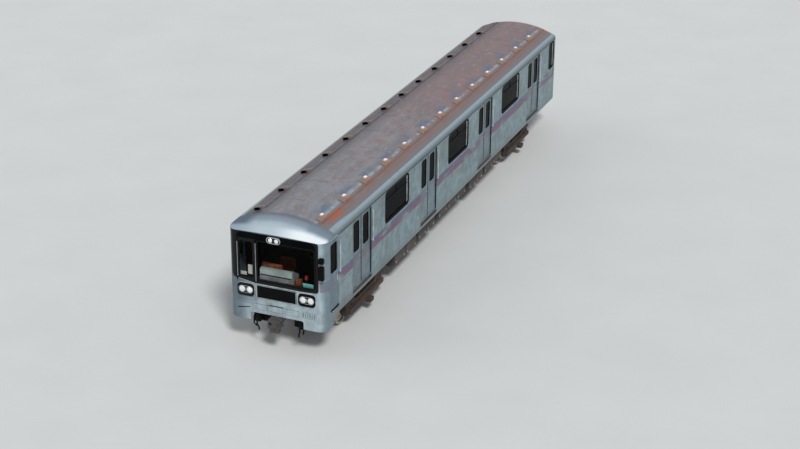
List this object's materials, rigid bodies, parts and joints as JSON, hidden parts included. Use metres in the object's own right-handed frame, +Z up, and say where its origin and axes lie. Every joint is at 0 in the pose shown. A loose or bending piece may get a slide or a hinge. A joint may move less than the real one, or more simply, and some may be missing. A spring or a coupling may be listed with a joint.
{
  "type": "metro car with driving cab",
  "caption": "Metro car with a flat black-masked cab end, ribbed steel sides, four pairs of sliding doors a side, domed roof with rows of cowl vents, two motor bogies and centre couplers.",
  "frame": {"origin": "middle of the car on the plane that the wheel flanges touch, 28 mm under the rail head", "axes": "+X to the cab end, +Y to the car's left, +Z up"},
  "size_m": [19.39, 2.782, 3.58],
  "materials": {
    "body_paint": "semi-gloss, weathered",
    "roof_grey": "matt, rusty",
    "roof_pale": "satin, weathered",
    "vent_metal": "satin, weathered",
    "mask_black": "gloss",
    "clear_glass": "polished",
    "lining": "satin",
    "floor_cover": "matt",
    "under_steel": "matt, dusty",
    "bogie_steel": "matt, dusty",
    "wheel_steel": "turned",
    "cast_steel": "rough",
    "seat_cover": "satin",
    "rail_chrome": "polished",
    "desk_paint": "satin",
    "rail_metal": "satin"
  },
  "bodies": {
    "carbody": {"floor": "floor_cover", "underframe_beams": "under_steel", "body_rails": "body_paint", "side_panels_left": "body_paint", "side_panels_right": "body_paint", "roof_crown": "roof_grey", "roof_coves": "roof_pale", "roof_dome": "roof_pale", "roof_vents": "vent_metal", "ceiling": "lining", "front_wall": "body_paint", "front_mask": "mask_black", "front_apron": "body_paint", "front_fittings": "mask_black", "glass_panes": "clear_glass", "rear_wall": "body_paint", "cab_bulkhead": "lining", "cab_fittings": "desk_paint", "benches": "seat_cover", "grab_rails": "rail_chrome", "side_fittings": "rail_metal", "underfloor_equipment": "under_steel"},
    "bogie_front": {"bogie_frame_front": "bogie_steel", "bogie_bolster_front": "bogie_steel", "bogie_suspension_front": "bogie_steel", "bogie_motors_front": "bogie_steel", "bogie_gear_front": "bogie_steel"},
    "wheelset_front_1": {"wheelset_front_1": "wheel_steel"},
    "wheelset_front_2": {"wheelset_front_2": "wheel_steel"},
    "coupler_front": {"coupler_front": "cast_steel"},
    "bogie_rear": {"bogie_frame_rear": "bogie_steel", "bogie_bolster_rear": "bogie_steel", "bogie_suspension_rear": "bogie_steel", "bogie_motors_rear": "bogie_steel", "bogie_gear_rear": "bogie_steel"},
    "wheelset_rear_1": {"wheelset_rear_1": "wheel_steel"},
    "wheelset_rear_2": {"wheelset_rear_2": "wheel_steel"},
    "coupler_rear": {"coupler_rear": "cast_steel"},
    "door_left_1_front": {"door_left_1_front": "body_paint"},
    "door_left_1_rear": {"door_left_1_rear": "body_paint"},
    "door_left_2_front": {"door_left_2_front": "body_paint"},
    "door_left_2_rear": {"door_left_2_rear": "body_paint"},
    "door_left_3_front": {"door_left_3_front": "body_paint"},
    "door_left_3_rear": {"door_left_3_rear": "body_paint"},
    "door_left_4_front": {"door_left_4_front": "body_paint"},
    "door_left_4_rear": {"door_left_4_rear": "body_paint"},
    "door_right_1_front": {"door_right_1_front": "body_paint"},
    "door_right_1_rear": {"door_right_1_rear": "body_paint"},
    "door_right_2_front": {"door_right_2_front": "body_paint"},
    "door_right_2_rear": {"door_right_2_rear": "body_paint"},
    "door_right_3_front": {"door_right_3_front": "body_paint"},
    "door_right_3_rear": {"door_right_3_rear": "body_paint"},
    "door_right_4_front": {"door_right_4_front": "body_paint"},
    "door_right_4_rear": {"door_right_4_rear": "body_paint"},
    "cab_door_left": {"cab_door_left": "body_paint"},
    "cab_door_right": {"cab_door_right": "body_paint"},
    "bulkhead_door": {"bulkhead_door": "lining"},
    "rear_door": {"rear_door": "body_paint"},
    "emergency_door": {"emergency_door": "body_paint"}
  },
  "joints": [
    {"name": "bogie_front_swivel", "type": "hinge", "parent": "carbody", "child": "bogie_front", "pos_m": [6.3, 0, 0.9], "axis": [0, 0, 1], "range_deg": [-6, 6]},
    {"name": "wheelset_front_1_spin", "type": "hinge", "parent": "bogie_front", "child": "wheelset_front_1", "pos_m": [7.35, 0, 0.418], "axis": [0, 1, 0], "continuous": true},
    {"name": "wheelset_front_2_spin", "type": "hinge", "parent": "bogie_front", "child": "wheelset_front_2", "pos_m": [5.25, 0, 0.418], "axis": [0, 1, 0], "continuous": true},
    {"name": "bogie_rear_swivel", "type": "hinge", "parent": "carbody", "child": "bogie_rear", "pos_m": [-6.3, 0, 0.9], "axis": [0, 0, 1], "range_deg": [-6, 6]},
    {"name": "wheelset_rear_1_spin", "type": "hinge", "parent": "bogie_rear", "child": "wheelset_rear_1", "pos_m": [-5.25, 0, 0.418], "axis": [0, 1, 0], "continuous": true},
    {"name": "wheelset_rear_2_spin", "type": "hinge", "parent": "bogie_rear", "child": "wheelset_rear_2", "pos_m": [-7.35, 0, 0.418], "axis": [0, 1, 0], "continuous": true},
    {"name": "door_left_1_front_slide", "type": "slide", "parent": "carbody", "child": "door_left_1_front", "axis": [1, 0, 0], "range_m": [0, 0.59]},
    {"name": "door_left_1_rear_slide", "type": "slide", "parent": "carbody", "child": "door_left_1_rear", "axis": [1, 0, 0], "range_m": [-0.59, 0]},
    {"name": "door_left_2_front_slide", "type": "slide", "parent": "carbody", "child": "door_left_2_front", "axis": [1, 0, 0], "range_m": [0, 0.59]},
    {"name": "door_left_2_rear_slide", "type": "slide", "parent": "carbody", "child": "door_left_2_rear", "axis": [1, 0, 0], "range_m": [-0.59, 0]},
    {"name": "door_left_3_front_slide", "type": "slide", "parent": "carbody", "child": "door_left_3_front", "axis": [1, 0, 0], "range_m": [0, 0.59]},
    {"name": "door_left_3_rear_slide", "type": "slide", "parent": "carbody", "child": "door_left_3_rear", "axis": [1, 0, 0], "range_m": [-0.59, 0]},
    {"name": "door_left_4_front_slide", "type": "slide", "parent": "carbody", "child": "door_left_4_front", "axis": [1, 0, 0], "range_m": [0, 0.59]},
    {"name": "door_left_4_rear_slide", "type": "slide", "parent": "carbody", "child": "door_left_4_rear", "axis": [1, 0, 0], "range_m": [-0.59, 0]},
    {"name": "door_right_1_front_slide", "type": "slide", "parent": "carbody", "child": "door_right_1_front", "axis": [1, 0, 0], "range_m": [0, 0.59]},
    {"name": "door_right_1_rear_slide", "type": "slide", "parent": "carbody", "child": "door_right_1_rear", "axis": [1, 0, 0], "range_m": [-0.59, 0]},
    {"name": "door_right_2_front_slide", "type": "slide", "parent": "carbody", "child": "door_right_2_front", "axis": [1, 0, 0], "range_m": [0, 0.59]},
    {"name": "door_right_2_rear_slide", "type": "slide", "parent": "carbody", "child": "door_right_2_rear", "axis": [1, 0, 0], "range_m": [-0.59, 0]},
    {"name": "door_right_3_front_slide", "type": "slide", "parent": "carbody", "child": "door_right_3_front", "axis": [1, 0, 0], "range_m": [0, 0.59]},
    {"name": "door_right_3_rear_slide", "type": "slide", "parent": "carbody", "child": "door_right_3_rear", "axis": [1, 0, 0], "range_m": [-0.59, 0]},
    {"name": "door_right_4_front_slide", "type": "slide", "parent": "carbody", "child": "door_right_4_front", "axis": [1, 0, 0], "range_m": [0, 0.59]},
    {"name": "door_right_4_rear_slide", "type": "slide", "parent": "carbody", "child": "door_right_4_rear", "axis": [1, 0, 0], "range_m": [-0.59, 0]},
    {"name": "cab_door_left_swing", "type": "hinge", "parent": "carbody", "child": "cab_door_left", "pos_m": [9.098, 1.293, 2.2], "axis": [0, 0, 1], "range_deg": [0, 80]},
    {"name": "cab_door_right_swing", "type": "hinge", "parent": "carbody", "child": "cab_door_right", "pos_m": [9.098, -1.293, 2.2], "axis": [0, 0, -1], "range_deg": [0, 80]},
    {"name": "bulkhead_door_swing", "type": "hinge", "parent": "carbody", "child": "bulkhead_door", "pos_m": [7.738, -0.308, 2.2], "axis": [0, 0, 1], "range_deg": [0, 90]},
    {"name": "rear_door_swing", "type": "hinge", "parent": "carbody", "child": "rear_door", "pos_m": [-9.328, 0.328, 2.2], "axis": [0, 0, 1], "range_deg": [0, 90]},
    {"name": "emergency_door_swing", "type": "hinge", "parent": "carbody", "child": "emergency_door", "pos_m": [9.397, -1.09, 2.2], "axis": [0, 0, -1], "range_deg": [0, 95]},
    {"name": "coupler_front_swing", "type": "hinge", "parent": "carbody", "child": "coupler_front", "pos_m": [8.6, 0, 0.853], "axis": [0, 0, 1], "range_deg": [-20, 20]},
    {"name": "coupler_rear_swing", "type": "hinge", "parent": "carbody", "child": "coupler_rear", "pos_m": [-8.6, 0, 0.853], "axis": [0, 0, 1], "range_deg": [-20, 20]}
  ],
  "couplings": [
    {"joint": "door_left_1_rear_slide", "follows": "door_left_1_front_slide", "ratio": -1},
    {"joint": "door_left_2_rear_slide", "follows": "door_left_2_front_slide", "ratio": -1},
    {"joint": "door_left_3_rear_slide", "follows": "door_left_3_front_slide", "ratio": -1},
    {"joint": "door_left_4_rear_slide", "follows": "door_left_4_front_slide", "ratio": -1},
    {"joint": "door_right_1_rear_slide", "follows": "door_right_1_front_slide", "ratio": -1},
    {"joint": "door_right_2_rear_slide", "follows": "door_right_2_front_slide", "ratio": -1},
    {"joint": "door_right_3_rear_slide", "follows": "door_right_3_front_slide", "ratio": -1},
    {"joint": "door_right_4_rear_slide", "follows": "door_right_4_front_slide", "ratio": -1}
  ]
}
